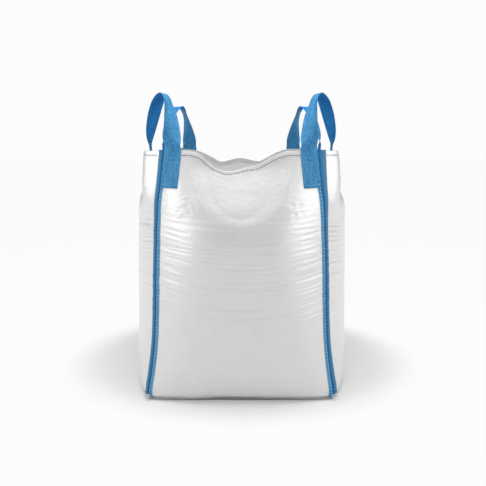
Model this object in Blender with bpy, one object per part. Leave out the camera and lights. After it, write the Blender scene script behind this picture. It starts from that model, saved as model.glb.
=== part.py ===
"""Open-topped bulk bag (flexible intermediate bulk container) standing in its filled shape.

Four bulging side panels and a flat base make a square-based sack, open at the top. A flat
webbing tape covers each corner seam. Each corner carries a lifting loop of wide webbing: one
end is sewn flat on the front or back panel beside the corner, the other end on the side
panel, and the strap turns a quarter turn over its top. Metres, +Z up, the front towards -Y,
the origin at the middle of the base on the floor.
"""

import math

import bmesh
import bpy
from mathutils import Vector

# Driving dimensions, in metres.
BODY_HEIGHT = 1.177  # hem height at the corners
WALL = 0.003  # panel thickness, a stand-in for the doubled, coated weave
GAP = 0.0004  # air between two pieces that touch
TAPE_THICKNESS = 0.002
STRAP_THICKNESS = 0.003
STITCH_THICKNESS = 0.0008
LOOP_FULLNESS = 1.6  # exponent of the superellipse that a loop follows
STRAP_WIDTH = 0.080
HINGE_RISE = 0.060  # the bend of a loop above the hem
LOOP_END_RADIUS = 0.0462  # a loop's lower end is cut round about its hinge
STUB_END_RADIUS = 0.0475  # the sewn end's top is cut round to match
FOOT_RISE = 0.033  # where the straight foot of a loop ends, above the hem
LOOP_LEAN = 0.034  # how strongly a loop leans in over the bag
LEAN_FADE = 1.5  # a greater value leans the top in more than the legs
# Each loop's own hang: how high it rises above its straight feet, how sharply it swings back over
# its top (an exponent; the greater, the more the top runs from left to right), and how far its
# width is turned from along X towards along Y, in degrees, from its facing leg (place 0) to its
# side leg (place 1).
FRONT_HANG = (0.230, 2.2, (
    (0.10, 25), (0.17, 44), (0.25, 60), (0.34, 76), (0.50, 74),
    (0.68, 54), (0.75, 53), (0.81, 57), (0.88, 65), (0.955, 80),
))
BACK_HANG = (0.208, 1.3, (
    (0.10, 25), (0.17, 44), (0.25, 62), (0.34, 70), (0.50, 52),
    (0.68, 50), (0.75, 51), (0.81, 55), (0.88, 62), (0.955, 78),
))

# Profiles up the bag: (height, distance from the middle axis).
CORNER_PROFILE = (
    (0.0, 0.440), (0.026, 0.447), (0.11, 0.436), (0.23, 0.422),
    (0.37, 0.413), (0.67, 0.401), (0.93, 0.387), (1.03, 0.373), (BODY_HEIGHT, 0.355),
)
# How much further the corners stand out to the front and back than to the sides.
CORNER_SPREAD = ((0.0, 0.038), (0.03, 0.034), (0.12, 0.014), (0.30, 0.0))
SIDE_MIDDLE_PROFILE = (
    (0.0, 0.474), (0.03, 0.520), (0.10, 0.552), (0.22, 0.564),
    (0.45, 0.562), (0.87, 0.553), (1.00, 0.512), (1.10, 0.468), (BODY_HEIGHT, 0.447),
)
FRONT_MIDDLE_PROFILE = (
    (0.0, 0.484), (0.03, 0.514), (0.10, 0.540), (0.22, 0.558),
    (0.45, 0.560), (0.87, 0.550), (1.00, 0.480), (1.10, 0.420), (BODY_HEIGHT, 0.395),
)
# How square a level section is: 2 is a round arc from corner to corner, more is flatter.
SQUARENESS_PROFILE = (
    (0.0, 6.0), (0.10, 4.2), (0.30, 2.7), (0.85, 2.2), (1.00, 3.2), (BODY_HEIGHT, 6.5),
)

# Hem height along a panel: (place across from -1 to 1, height).
FRONT_HEM = (
    (-1.0, 1.177), (-0.62, 1.177), (-0.44, 1.128), (-0.16, 1.083),
    (0.15, 1.115), (0.46, 1.160), (0.62, 1.177), (1.0, 1.177),
)
BACK_HEM = (
    (-1.0, 1.177), (-0.72, 1.172), (-0.29, 1.105), (0.03, 1.124),
    (0.33, 1.105), (0.76, 1.166), (1.0, 1.177),
)
SIDE_HEM = ((-1.0, 1.177), (-0.66, 1.177), (0.0, 1.152), (0.66, 1.177), (1.0, 1.177))

# The panels in order, counter-clockwise from above: name, middle profile, hem.
SIDES = (
    ("front", FRONT_MIDDLE_PROFILE, FRONT_HEM),
    ("right", SIDE_MIDDLE_PROFILE, SIDE_HEM),
    ("back", FRONT_MIDDLE_PROFILE, BACK_HEM),
    ("left", SIDE_MIDDLE_PROFILE, SIDE_HEM),
)

# Places across a panel, as fractions of its half width.
PANEL_EDGE = 0.9992
TAPE_EDGE = 0.942
TRIM_EDGE = 0.935
FRONT_LEG = (0.764, 0.988)
SIDE_LEG = (0.436, 0.662)
LEG_COLUMN = 0.04
STITCH_INSET = 0.022
STITCH_WIDTH = 0.012

# Places up a panel, as fractions of its hem height.
WALL_FOOT = 0.0029
BASE_SEAM_TOP = 0.016
LEG_BOTTOM = 0.859
BOX_STITCH = (0.871, 0.957)
BOX_STITCH_WIDTH = 0.004
HEM_THREAD = (0.9825, 0.9855)

# The net of straight lines that every piece on the panels shares, so layers stay parallel.
HALF_COLUMNS = (0.22, SIDE_LEG[0], SIDE_LEG[1], FRONT_LEG[0], 0.88, TAPE_EDGE, 1.0)
COLUMNS = tuple(-s for s in reversed(HALF_COLUMNS)) + (0.0,) + HALF_COLUMNS
ROWS = (
    0.0, BASE_SEAM_TOP, 0.055, 0.11, 0.19, 0.29, 0.40, 0.51,
    0.62, 0.72, 0.79, LEG_BOTTOM, 0.90, 0.95, *HEM_THREAD, 1.0,
)

# Colours, roughness.
WEAVE = ((0.78, 0.78, 0.77), 0.62)
TAPE = ((0.05, 0.19, 0.38), 0.60)
WEBBING = ((0.07, 0.29, 0.57), 0.55)
THREAD = ((0.03, 0.06, 0.16), 0.70)
SEAM = ((0.35, 0.36, 0.38), 0.75)


def along(stations, x):
    """A smooth curve through (x, value) stations, with no overshoot between level ones."""
    slopes = [
        (b[1] - a[1]) / (b[0] - a[0]) for a, b in zip(stations, stations[1:])
    ]
    tangents = [slopes[0]]
    for before, after in zip(slopes, slopes[1:]):
        same_way = before * after > 0
        tangents.append(2 * before * after / (before + after) if same_way else 0.0)
    tangents.append(slopes[-1])
    x = min(max(x, stations[0][0]), stations[-1][0])
    i = 0
    while x > stations[i + 1][0]:
        i += 1
    (x0, y0), (x1, y1) = stations[i], stations[i + 1]
    span = x1 - x0
    f = (x - x0) / span
    return (
        y0 * (1 + 2 * f) * (1 - f) ** 2
        + y1 * f * f * (3 - 2 * f)
        + tangents[i] * span * f * (1 - f) ** 2
        - tangents[i + 1] * span * f * f * (1 - f)
    )


def on_side(side, u, w, z):
    """A panel's own place (u along it, w outward) as a point of the bag."""
    quarter = side * math.pi / 2
    across = Vector((math.cos(quarter), math.sin(quarter), 0.0))
    outward = Vector((math.sin(quarter), -math.cos(quarter), 0.0))
    return across * u + outward * w + Vector((0.0, 0.0, z))


def net_point(side, s, t, offset):
    """A crossing of the shared net: s across the panel, t up it, offset out of its face."""
    _, middle_profile, hem = SIDES[side]
    z = t * along(hem, s)
    corner = along(CORNER_PROFILE, z)
    spread = along(CORNER_SPREAD, z)
    half, out = (corner, corner + spread) if side % 2 == 0 else (corner + spread, corner)
    bulge = along(middle_profile, z) - out
    crown = 1 - abs(s) ** along(SQUARENESS_PROFILE, z)
    return on_side(side, (half + offset) * s, out + offset + bulge * crown, z)


def cell(lines, x):
    """The two net lines on either side of x, and how far x is between them."""
    i = 0
    while i < len(lines) - 2 and x > lines[i + 1]:
        i += 1
    return lines[i], lines[i + 1], (x - lines[i]) / (lines[i + 1] - lines[i])


def surface(side, s, t, offset):
    """A point on the flat cells of the net."""
    s0, s1, fs = cell(COLUMNS, s)
    t0, t1, ft = cell(ROWS, t)
    low = net_point(side, s0, t0, offset).lerp(net_point(side, s1, t0, offset), fs)
    high = net_point(side, s0, t1, offset).lerp(net_point(side, s1, t1, offset), fs)
    return low.lerp(high, ft)


def cuts(lines, low, high):
    """The net lines between two places, with both places."""
    return [low] + [x for x in lines if low + 1e-6 < x < high - 1e-6] + [high]


def split(places, most):
    """The same places, with the wide steps divided evenly into steps no wider than most."""
    result = places[:1]
    for low, high in zip(places, places[1:]):
        parts = math.ceil((high - low) / most)
        result += [low + (high - low) * i / parts for i in range(1, parts + 1)]
    return result


def slab(inner, outer):
    """Vertices and faces of a closed sheet from two equal grids of points."""
    rows, columns = len(inner), len(inner[0])
    vertices = [p for row in inner for p in row] + [p for row in outer for p in row]
    count = rows * columns
    faces = []
    for i in range(rows - 1):
        for j in range(columns - 1):
            a, b = i * columns + j, i * columns + j + 1
            c, d = a + columns, b + columns
            faces += [(a, c, d), (a, d, b)]
            faces += [(count + a, count + d, count + c), (count + a, count + b, count + d)]
    rim = [j for j in range(columns)]
    rim += [i * columns + columns - 1 for i in range(1, rows)]
    rim += [(rows - 1) * columns + j for j in range(columns - 2, -1, -1)]
    rim += [i * columns for i in range(rows - 2, 0, -1)]
    for a, b in zip(rim, rim[1:] + rim[:1]):
        faces.append((a, b, count + b, count + a))
    return vertices, faces


def patch(side, s_range, t_range, offsets):
    """A closed sheet on part of one panel."""
    grids = []
    for offset in offsets:
        grids.append([
            [surface(side, s, t, offset) for s in cuts(COLUMNS, *s_range)]
            for t in cuts(ROWS, *t_range)
        ])
    return slab(*grids)


def ring(side, s_range, t_range, widths, offsets):
    """A closed rectangular frame on one panel."""
    (s0, s1), (t0, t1), (ws, wt) = s_range, t_range, widths
    across, up = cuts(COLUMNS, s0, s1), cuts(ROWS, t0, t1)
    outer = [(s, t0) for s in across[:-1]] + [(s1, t) for t in up[:-1]]
    outer += [(s, t1) for s in across[:0:-1]] + [(s0, t) for t in up[:0:-1]]
    inner = [
        (min(max(s, s0 + ws), s1 - ws), min(max(t, t0 + wt), t1 - wt)) for s, t in outer
    ]
    n = len(outer)
    vertices = [surface(side, s, t, o) for o in offsets for loop in (outer, inner) for s, t in loop]
    faces = []
    for i in range(n):
        j = (i + 1) % n
        faces += [(i, j, n + j, n + i), (2 * n + i, 3 * n + i, 3 * n + j, 2 * n + j)]
        faces += [(i, 2 * n + i, 2 * n + j, j), (n + i, n + j, 3 * n + j, 3 * n + i)]
    return vertices, faces


def new_object(name, shape, finish, parent, origin):
    """One closed body as a named object, with its mesh placed about its own origin."""
    vertices, faces = shape
    mesh = bpy.data.meshes.new(name)
    mesh.from_pydata([tuple(v - origin) for v in vertices], [], faces)
    work = bmesh.new()
    work.from_mesh(mesh)
    bmesh.ops.recalc_face_normals(work, faces=work.faces)
    work.to_mesh(mesh)
    work.free()
    mesh.shade_smooth()
    mesh.set_sharp_from_angle(angle=math.radians(35))
    material = bpy.data.materials.new(name + "_finish")
    material.use_nodes = True
    shader = material.node_tree.nodes["Principled BSDF"]
    (colour, roughness) = finish
    shader.inputs["Base Color"].default_value = (*colour, 1.0)
    shader.inputs["Roughness"].default_value = roughness
    mesh.materials.append(material)
    thing = bpy.data.objects.new(name, mesh)
    bpy.context.collection.objects.link(thing)
    thing.parent = parent
    thing.location = origin - parent.location
    return thing


def new_empty(name, location, parent=None):
    """A guide that pieces hang from."""
    empty = bpy.data.objects.new(name, None)
    bpy.context.collection.objects.link(empty)
    empty.parent = parent
    empty.location = location
    return empty


def make_panels(bag):
    """The four walls, each a closed curved sheet that stops just short of the corner seams."""
    for side, (name, _, _) in enumerate(SIDES):
        wall = patch(side, (-PANEL_EDGE, PANEL_EDGE), (WALL_FOOT, 1.0), (-WALL, 0.0))
        new_object(name + "_panel", wall, WEAVE, bag, surface(side, 0.0, WALL_FOOT, 0.0))


def make_base(bag):
    """The flat base, as wide as the walls that stand on it."""
    outline = [surface(side, s, 0.0, 0.0) for side in range(4) for s in COLUMNS[:-1]]
    n = len(outline)
    thickness = Vector((0.0, 0.0, WALL))
    vertices = outline + [p + thickness for p in outline]
    faces = [tuple(range(n)), tuple(range(n, 2 * n))]
    faces += [(i, (i + 1) % n, n + (i + 1) % n, n + i) for i in range(n)]
    new_object("base_panel", (vertices, faces), WEAVE, bag, Vector((0.0, 0.0, 0.0)))


def make_base_seams(bag):
    """The sewn edge where each wall meets the base."""
    for side, (name, _, _) in enumerate(SIDES):
        seam = patch(
            side, (-TRIM_EDGE, TRIM_EDGE), (WALL_FOOT, BASE_SEAM_TOP), (GAP, GAP + TAPE_THICKNESS)
        )
        new_object(name + "_base_seam", seam, SEAM, bag, surface(side, 0.0, WALL_FOOT, 0.0))


def make_hem_threads(bag):
    """The line of chain stitch round the folded hem of the mouth."""
    for side, (name, _, _) in enumerate(SIDES):
        thread = patch(side, (-TRIM_EDGE, TRIM_EDGE), HEM_THREAD, (GAP, GAP + STITCH_THICKNESS))
        new_object(name + "_hem_stitch", thread, THREAD, bag, surface(side, 0.0, HEM_THREAD[0], 0.0))


def make_seam_tapes(bag):
    """A flat tape over each corner seam, folded round the corner, half on each panel."""
    names = ("front_right", "back_right", "back_left", "front_left")
    for side, name in enumerate(names):
        places = [(side, TAPE_EDGE), (side, 1.0), ((side + 1) % 4, -TAPE_EDGE)]
        grids = [
            [[surface(k, s, t, offset) for k, s in places] for t in cuts(ROWS, WALL_FOOT, 1.0)]
            for offset in (GAP, GAP + TAPE_THICKNESS)
        ]
        foot = surface(side, 1.0, WALL_FOOT, 0.0)
        new_object(name + "_seam_tape", slab(*grids), TAPE, bag, foot)


class Corner:
    """One corner of the bag, with the two places where its loop is sewn on."""

    def __init__(self, name, facing, facing_leg, flank, flank_leg):
        self.name = name
        self.legs = ((facing, facing_leg, "facing"), (flank, flank_leg, "side"))
        self.feet = [self.foot(side, span) for side, span, _ in self.legs]
        (first, _), (second, _) = self.feet
        self.hinge = first.lerp(second, 0.5)
        self.hinge.z = BODY_HEIGHT + HINGE_RISE
        self.axis = (second - first).normalized()
        if self.axis.cross(Vector((0.0, 0.0, 1.0))).dot(self.hinge) < 0:
            self.axis.negate()
        self.outward = Vector((math.copysign(1.0, first.x), math.copysign(1.0, first.y), 0.0))
        ends = [self.turned(across) for _, across in self.feet]
        self.rise, self.swing, turns = FRONT_HANG if name.startswith("front") else BACK_HANG
        self.twist = ((0.0, ends[0]), *turns, (1.0, ends[1]))

    @staticmethod
    def foot(side, span):
        """The middle of a strap where it leaves the hem, and its direction across."""
        offset = 2 * GAP + TAPE_THICKNESS + STRAP_THICKNESS / 2
        first, second = (surface(side, s, 1.0, offset) for s in span)
        first.z = second.z = BODY_HEIGHT
        middle = first.lerp(second, 0.5)
        across = (second - first).normalized()
        return middle, across

    def turned(self, across):
        """How far a width direction is turned from along X towards along Y, in degrees."""
        x, y = across.x * self.outward.x, across.y * self.outward.y
        toward_corner = math.copysign(1.0, x + y)
        return math.degrees(math.atan2(y * toward_corner, x * toward_corner))

    def width_direction(self, place):
        """Across the loop's strap; place is 0 at its facing leg and 1 at its side leg."""
        angle = math.radians(along(self.twist, place))
        return Vector((self.outward.x * math.cos(angle), self.outward.y * math.sin(angle), 0.0))

    def cut_round(self, point, radius):
        """The same place, lowered or raised to a circle about the hinge."""
        away = point - self.hinge
        away.z = 0.0
        side_step = (away - self.axis * away.dot(self.axis)).length
        return Vector((point.x, point.y, self.hinge.z - math.sqrt(radius**2 - side_step**2)))


def make_corners():
    """The four corners, each with its own axis; a positive turn about an axis folds its loop out."""
    outer, inner = FRONT_LEG, SIDE_LEG

    def mirrored(span):
        return (-span[1], -span[0])

    return (
        Corner("front_right", 0, outer, 1, mirrored(inner)),
        Corner("back_right", 2, mirrored(outer), 1, inner),
        Corner("back_left", 2, outer, 3, mirrored(inner)),
        Corner("front_left", 0, mirrored(outer), 3, inner),
    )


def make_sewn_legs(bag, corner):
    """Both ends of a loop, sewn flat on their panels, each with its box of stitching."""
    inside = 2 * GAP + TAPE_THICKNESS
    outside = inside + STRAP_THICKNESS
    for side, span, kind in corner.legs:
        grids = []
        for offset in (inside, outside):
            across = split(cuts(COLUMNS, *span), LEG_COLUMN)
            rows = [[surface(side, s, t, offset) for s in across] for t in cuts(ROWS, LEG_BOTTOM, 1.0)]
            rows.append([corner.cut_round(p, STUB_END_RADIUS) for p in rows[-1]])
            grids.append(rows)
        name = corner.name + "_loop_" + kind + "_leg"
        new_object(name, slab(*grids), WEBBING, bag, surface(side, span[0], LEG_BOTTOM, inside))
        inset = (span[0] + STITCH_INSET, span[1] - STITCH_INSET)
        offsets = (outside + 2 * GAP, outside + 2 * GAP + STITCH_THICKNESS)
        frame = ring(side, inset, BOX_STITCH, (STITCH_WIDTH, BOX_STITCH_WIDTH), offsets)
        new_object(name + "_stitch", frame, THREAD, bag, surface(side, inset[0], BOX_STITCH[0], outside))


def loop_centre(corner, turn):
    """The middle line of a loop above its straight feet; turn runs from 0 to pi."""
    (first, _), (second, _) = corner.feet
    power = 2 / LOOP_FULLNESS
    cosine = math.cos(turn)
    share_x = (1 - math.copysign(abs(cosine) ** power, cosine)) / 2
    share_y = (1 - math.copysign(abs(cosine) ** corner.swing, cosine)) / 2
    rise = abs(math.sin(turn)) ** power
    place = Vector((first.lerp(second, share_x).x, first.lerp(second, share_y).y, 0.0))
    place.x -= corner.outward.x * LOOP_LEAN * rise**2 * (LEAN_FADE - rise)
    place.z = BODY_HEIGHT + FOOT_RISE + corner.rise * rise
    return place


def make_loop(bag, corner):
    """The free part of a lifting loop: a strap that twists on its way over."""
    stations = 20
    columns = 4
    step = 1e-3
    grids = ([], [])
    for i in range(stations + 1):
        turn = math.pi * i / stations
        centre = loop_centre(corner, turn)
        ahead = loop_centre(corner, min(turn + step, math.pi))
        behind = loop_centre(corner, max(turn - step, 0.0))
        tangent = (ahead - behind).normalized()
        if i in (0, stations):
            tangent = Vector((0.0, 0.0, 1.0 if i == 0 else -1.0))
        across = corner.width_direction(turn / math.pi)
        across = (across - tangent * across.dot(tangent)).normalized()
        outward = across.cross(tangent)
        for grid, side in zip(grids, (-1, 1)):
            grid.append([
                centre
                + across * STRAP_WIDTH * (j / columns - 0.5)
                + outward * side * STRAP_THICKNESS / 2
                for j in range(columns + 1)
            ])
    for grid in grids:
        grid.insert(0, [corner.cut_round(p, LOOP_END_RADIUS) for p in grid[0]])
        grid.append([corner.cut_round(p, LOOP_END_RADIUS) for p in grid[-1]])
    hinge = new_empty(corner.name + "_hinge", corner.hinge, bag)
    new_object(corner.name + "_loop", slab(*grids), WEBBING, hinge, corner.hinge.copy())


def main():
    for thing in list(bpy.data.objects):
        bpy.data.objects.remove(thing)
    bag = new_empty("bulk_bag", Vector((0.0, 0.0, 0.0)))
    make_panels(bag)
    make_base(bag)
    make_base_seams(bag)
    make_hem_threads(bag)
    make_seam_tapes(bag)
    for corner in make_corners():
        make_sewn_legs(bag, corner)
        make_loop(bag, corner)


main()
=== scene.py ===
"""The looks of the bulk bag: woven fabric, webbing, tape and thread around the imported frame."""

import math

import bmesh
import bpy
import numpy as np
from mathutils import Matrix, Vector


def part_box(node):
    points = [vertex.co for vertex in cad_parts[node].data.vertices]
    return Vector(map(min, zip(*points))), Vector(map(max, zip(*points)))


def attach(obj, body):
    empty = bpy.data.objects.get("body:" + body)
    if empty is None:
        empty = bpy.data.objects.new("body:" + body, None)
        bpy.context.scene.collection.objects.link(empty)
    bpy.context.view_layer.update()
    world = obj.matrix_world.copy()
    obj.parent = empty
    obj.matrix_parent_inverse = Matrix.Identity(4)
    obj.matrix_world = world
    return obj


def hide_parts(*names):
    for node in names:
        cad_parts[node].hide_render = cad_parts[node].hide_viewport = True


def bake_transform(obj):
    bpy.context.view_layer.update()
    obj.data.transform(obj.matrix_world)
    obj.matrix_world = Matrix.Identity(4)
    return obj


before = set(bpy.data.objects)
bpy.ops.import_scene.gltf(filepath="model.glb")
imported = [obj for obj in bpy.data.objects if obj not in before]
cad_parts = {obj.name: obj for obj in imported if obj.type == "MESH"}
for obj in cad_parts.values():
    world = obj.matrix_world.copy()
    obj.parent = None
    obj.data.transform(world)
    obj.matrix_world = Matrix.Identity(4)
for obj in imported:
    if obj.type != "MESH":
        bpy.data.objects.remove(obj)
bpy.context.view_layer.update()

HEM_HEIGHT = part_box("front_right_seam_tape")[1][2]
SIDES = ("front", "right", "back", "left")
CORNERS = ("front_right", "back_right", "back_left", "front_left")

# Profiles up the bag, in metres: (height, distance from the middle axis), as in the frame.
CORNER_PROFILE = (
    (0.0, 0.440), (0.026, 0.447), (0.11, 0.436), (0.23, 0.422),
    (0.37, 0.413), (0.67, 0.401), (0.93, 0.387), (1.03, 0.373), (HEM_HEIGHT, 0.355),
)
# How much further the corners stand out to the front and back than to the sides.
CORNER_SPREAD = ((0.0, 0.038), (0.03, 0.034), (0.12, 0.014), (0.30, 0.0))
SIDE_MIDDLE_PROFILE = (
    (0.0, 0.474), (0.03, 0.520), (0.10, 0.552), (0.22, 0.564),
    (0.45, 0.562), (0.87, 0.553), (1.00, 0.512), (1.10, 0.468), (HEM_HEIGHT, 0.447),
)
FRONT_MIDDLE_PROFILE = (
    (0.0, 0.484), (0.03, 0.514), (0.10, 0.540), (0.22, 0.558),
    (0.45, 0.561), (0.70, 0.561), (0.78, 0.5565), (0.84, 0.5460), (0.90, 0.526),
    (1.00, 0.474), (1.10, 0.424), (HEM_HEIGHT, 0.395),
)
SQUARENESS_PROFILE = (
    (0.0, 6.0), (0.10, 4.2), (0.30, 2.7), (0.85, 2.2), (1.00, 3.2), (HEM_HEIGHT, 6.5),
)
MIDDLE_PROFILES = (FRONT_MIDDLE_PROFILE, SIDE_MIDDLE_PROFILE) * 2
FULLNESS = (1.0, 0.99, 1.0, 0.94)  # the left wall bulges least
# How far a side wall stands out beside the tapes, where the side legs draw it up.
EAR = (
    (0.84, 0.0), (0.90, 0.008), (0.96, 0.021), (1.00, 0.030), (1.05, 0.038), (1.12, 0.042),
    (HEM_HEIGHT, 0.040),
)
EAR_PLACE, EAR_WIDTH = 0.82, 0.10
DRAWN_IN, DRAWN_PLACE, DRAWN_WIDTH = 0.016, 0.53, 0.14  # the dent beside each ear
# Half the width of the slack collar's hollow, by height.
HOLLOW = (
    (0.84, 0.0), (0.865, 0.075), (0.89, 0.12), (0.94, 0.170), (1.03, 0.205), (1.14, 0.245),
    (1.20, 0.255),
)
FRONT_LIFT = 0.011  # how far the front edge of the base is drawn up off the floor
FRONT_LIFT_FADE = 0.05

# Hem height along each panel: (place across from -1 to 1, height).
FRONT_HEM = (
    (-1.0, 1.177), (-0.66, 1.177), (-0.54, 1.167), (-0.43, 1.137), (-0.32, 1.108),
    (-0.18, 1.091), (-0.06, 1.095), (0.06, 1.109), (0.18, 1.116), (0.34, 1.141), (0.47, 1.163),
    (0.62, 1.177), (1.0, 1.177),
)
BACK_HEM = (
    (-1.0, 1.177), (-0.80, 1.176), (-0.67, 1.166), (-0.45, 1.130), (-0.29, 1.106),
    (0.03, 1.125), (0.33, 1.105), (0.55, 1.140), (0.76, 1.168), (1.0, 1.177),
)
SIDE_HEM = (
    (-1.0, 1.177), (-0.66, 1.177), (-0.30, 1.160), (0.05, 1.152), (0.35, 1.163),
    (0.66, 1.177), (1.0, 1.177),
)
HEMS = (FRONT_HEM, SIDE_HEM, BACK_HEM, SIDE_HEM)

FOOT = 0.0035  # where the walls start above the floor
FLOOR_GAP = 0.0003  # the least height of any cloth above the floor
CLOTH = 0.0008
PANEL_WIDTH = 0.90
HEM_FOLD = 0.028  # depth of the hem folded to the inside
FOLD_RADIUS = 0.0011
HEM_STITCH_DEPTH = 0.0185
HEM_STITCH_RISE, HEM_STITCH_RISE_PLACE, HEM_STITCH_RISE_WIDTH = 0.0055, -0.14, 0.26
INSIDE_GLOW = 0.12  # painted glow on the inside faces, standing in for light that comes through the thin white cloth
PANEL_COLUMNS, PANEL_ROWS = 110, 330

# Where and how finely the cloth is wrinkled, in metres.
LINE_SPACING = 0.021
LINE_SAG = 0.040
LEDGE_HEIGHT, LEDGE_SAG = 0.602, 0.042
FOLD_HEIGHT, FOLD_SPACING = 0.835, 0.029
FINE_FOLD_HEIGHT, FINE_FOLD_SPACING = 0.735, 0.020
FOLD_DROOP = 0.04
CRUMPLE_HEIGHT, CRUMPLE_FROM_SEAM = 0.920, 0.150
SIDE_CALM = 0.55  # the side walls fold less than the front and back

BASE_CELLS = 72
LIP_GREY_FROM = 0.0085  # the base seam is painted near black, a painted shadow, up to here along its width
# The base seam's cross-section: (height, distance out from the cloth).
LIP_PROFILE = (
    (0.0030, 0.0004), (0.0030, 0.0024), (0.0070, 0.0042), (0.0120, 0.0036), (0.0140, 0.0022),
    (0.0135, 0.0004),
)
# PAINTED_SHADOW_SKIRT_FOOT: the height the lip's lowest lines are drawn down to, so its painted
# shadow reaches the floor.
LIP_OUT, PAINTED_SHADOW_SKIRT_FOOT = 0.004, 0.0008
FRAYS, FRAY_POINTS, FRAY_LOWEST = 26, 9, 0.0018

TAPE_HALF = 0.026  # half the seam tape's width
TAPE_GAP = 0.0004  # between the tape's underside and the cloth
STRAP_THICKNESS = 0.0026
STRAP_WIDTH = 0.080
STRAP_RIBS = 14
FACING_LEG = (0.764, 0.988)
SIDE_LEG = (0.436, 0.662)
LEG_BOTTOM = 0.859  # as a share of the hem height
BOX_STITCH = (0.871, 0.957)
BOX_ZIGZAGS = 5
LOOP_FULLNESS = 1.6
FOOT_RISE = 0.033
LOOP_LEAN = 0.034
LEAN_FADE = 1.5
RIB_HEIGHT = 0.00022
# The webbing with painted shade, a darker copy of its material, as shares of the strap's length
# from its facing leg: the underside from PAINTED_SHADE_FROM on, and on the rear loops both faces
# over REAR_SHADE.
PAINTED_SHADE_FROM = 0.48
REAR_SHADE = (0.44, 0.62)
# Each loop's own hang: how high it rises above its straight feet, how sharply it swings back over
# its top (an exponent; the greater, the more the top runs from left to right), and how far its
# width is turned from along X towards along Y, in degrees, from its facing leg (place 0) to its
# side leg (place 1).
FRONT_HANG = (0.230, 2.2, (
    (0.10, 25), (0.17, 44), (0.25, 60), (0.34, 76), (0.50, 74),
    (0.68, 54), (0.75, 53), (0.81, 57), (0.88, 65), (0.955, 80),
))
BACK_HANG = (0.208, 1.3, (
    (0.10, 25), (0.17, 44), (0.25, 62), (0.34, 70), (0.50, 52),
    (0.68, 50), (0.75, 51), (0.81, 55), (0.88, 62), (0.955, 78),
))

# Shape of the cloth

def smooth(stations, x):
    """A smooth curve through (x, value) stations, with no overshoot between level ones."""
    xs, ys = (np.array(v, float) for v in zip(*stations))
    slopes = np.diff(ys) / np.diff(xs)
    before, after = slopes[:-1], slopes[1:]
    same_way = before * after > 0
    total = np.where(same_way, before + after, 1.0)
    inner = np.where(same_way, 2 * before * after / total, 0.0)
    tangents = np.concatenate([slopes[:1], inner, slopes[-1:]])
    x = np.clip(x, xs[0], xs[-1])
    i = np.clip(np.searchsorted(xs, x, side="right") - 1, 0, len(xs) - 2)
    span = xs[i + 1] - xs[i]
    f = (x - xs[i]) / span
    return (
        ys[i] * (1 + 2 * f) * (1 - f) ** 2
        + ys[i + 1] * f * f * (3 - 2 * f)
        + tangents[i] * span * f * (1 - f) ** 2
        - tangents[i + 1] * span * f * f * (1 - f)
    )


def ramp(low, high, x):
    """0 below low, 1 above high, smooth between."""
    f = np.clip((x - low) / (high - low), 0.0, 1.0)
    return f * f * (3 - 2 * f)


def hill(x, middle, width):
    """1 at the middle, falling off to both sides."""
    return np.exp(-(((x - middle) / width) ** 2))


def lattice(ix, iy, seed):
    """A repeatable value from -1 to 1 for each whole-numbered place."""
    value = np.sin(ix * 127.1 + iy * 311.7 + seed * 74.7) * 43758.5453
    return 2 * (value - np.floor(value)) - 1


def noise(x, y, seed=0):
    """Smooth random hills about one unit across, from -1 to 1."""
    ix, iy = np.floor(x), np.floor(y)
    fx, fy = x - ix, y - iy
    fx, fy = fx * fx * (3 - 2 * fx), fy * fy * (3 - 2 * fy)
    low = lattice(ix, iy, seed) * (1 - fx) + lattice(ix + 1, iy, seed) * fx
    high = lattice(ix, iy + 1, seed) * (1 - fx) + lattice(ix + 1, iy + 1, seed) * fx
    return low * (1 - fy) + high * fy


def hem_height(side, s):
    return smooth(HEMS[side], s)


def stitch_depth(side, s):
    """How far below the edge the hem is sewn; the dips of the front and back draw it up."""
    rise = HEM_STITCH_RISE * hill(s, HEM_STITCH_RISE_PLACE, HEM_STITCH_RISE_WIDTH)
    return HEM_STITCH_DEPTH - (rise if side % 2 == 0 else 0.0)


def bag_surface(side, s, t):
    """The filled shape without its wrinkles: s across a panel, t up it."""
    s, t = np.broadcast_arrays(np.asarray(s, float), np.asarray(t, float))
    z = t * hem_height(side, s)
    corner = smooth(CORNER_PROFILE, z)
    spread = smooth(CORNER_SPREAD, z)
    half, out = (corner + spread, corner) if side % 2 else (corner, corner + spread)
    bulge = (smooth(MIDDLE_PROFILES[side], z) - out) * FULLNESS[side]
    w = out + bulge * (1 - np.abs(s) ** smooth(SQUARENESS_PROFILE, z))
    if side % 2:
        pulled = ramp(0.90, 1.02, z) * (1 - ramp(1.08, 1.16, z))
        w = w + smooth(EAR, z) * hill(np.abs(s), EAR_PLACE, EAR_WIDTH)
        w = w - pulled * DRAWN_IN * hill(np.abs(s), DRAWN_PLACE, DRAWN_WIDTH)
    if side == 0:
        z = z + FRONT_LIFT * (1 - s * s) * np.exp(-z / FRONT_LIFT_FADE)
    u = half * s
    quarter = side * math.pi / 2
    x = u * math.cos(quarter) + w * math.sin(quarter)
    y = u * math.sin(quarter) - w * math.cos(quarter)
    return np.stack([x, y, z], axis=-1)


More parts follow.
